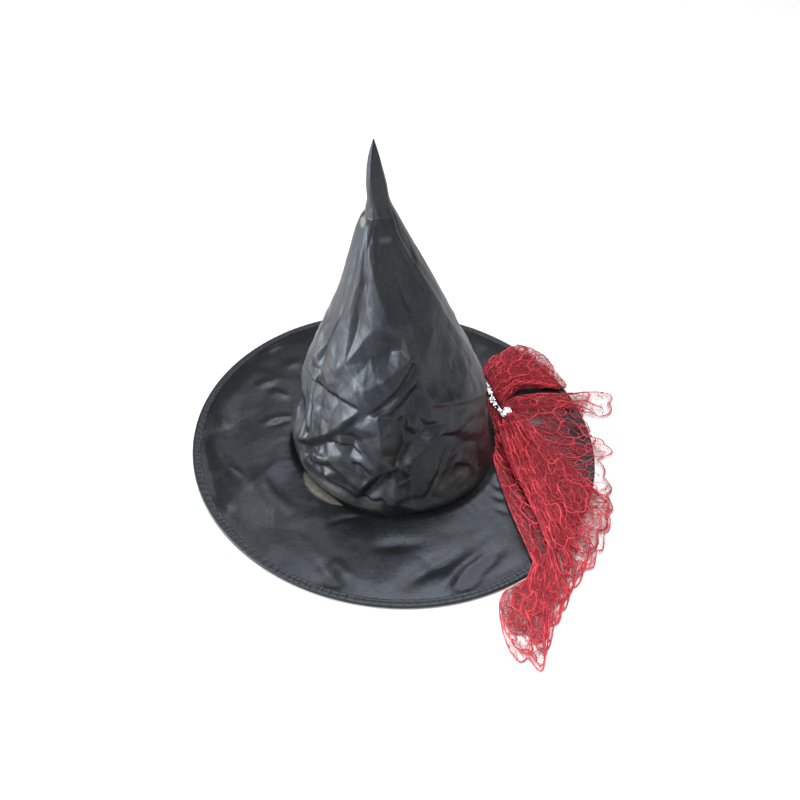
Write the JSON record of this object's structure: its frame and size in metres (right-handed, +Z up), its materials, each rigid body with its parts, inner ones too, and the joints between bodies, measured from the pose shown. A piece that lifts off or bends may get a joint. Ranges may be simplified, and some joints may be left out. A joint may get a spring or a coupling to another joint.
{
  "type": "witch hat",
  "caption": "Pointed witch hat in black taffeta with a wide wired brim, a limp bending tip and a red lace scarf gathered at one side.",
  "frame": {"origin": "centre of the head opening, in the plane that the brim stands on", "axes": "+Z up through the crown; -Y is the hat's front; +X is the side that carries the lace scarf"},
  "size_m": [0.401, 0.423, 0.317],
  "materials": {
    "taffeta": "plain-weave black taffeta with a bluish-grey sheen",
    "taffeta_under": "same taffeta, dull side down",
    "interlining": "matt non-woven stiffener",
    "binding": "folded taffeta tape",
    "thread": "black polyester sewing thread",
    "red_thread": "red polyester sewing thread",
    "spring_wire": "bright drawn wire",
    "crimp_sleeve": "crimped tube",
    "sweatband_twill": "ribbed ribbon",
    "lace": "fine tulle ground with thick web cords",
    "sequins": "metallised silver film",
    "stone": "faceted clear stone",
    "setting": "bright plated cup"
  },
  "bodies": {
    "hat": {"crown_cover": "taffeta", "crown_interlining": "interlining", "tuck_stitches": "thread", "brim_top_cover": "taffeta", "brim_interlining": "interlining", "brim_under_cover": "taffeta_under", "edge_binding": "binding", "binding_stitching": "thread", "edge_wire": "spring_wire", "wire_joiner": "crimp_sleeve", "base_seam_stitching": "thread", "sweatband": "sweatband_twill", "sweatband_stitching": "thread", "lace_gather": "lace", "gather_stitches": "red_thread", "sequin_trim": "sequins", "rhinestone": "stone", "stone_setting": "setting"},
    "tip": {"crown_tip": "taffeta"},
    "veil": {"lace_scarf": "lace"}
  },
  "joints": [
    {"name": "tip_bend", "type": "hinge", "parent": "hat", "child": "tip", "pos_m": [-0.02613, 0, 0.258], "axis": [0, 1, 0], "range_deg": [-60, 45]},
    {"name": "veil_lift", "type": "hinge", "parent": "hat", "child": "veil", "pos_m": [0.108, 0, 0.006], "axis": [0, -1, 0], "range_deg": [0, 65]}
  ]
}
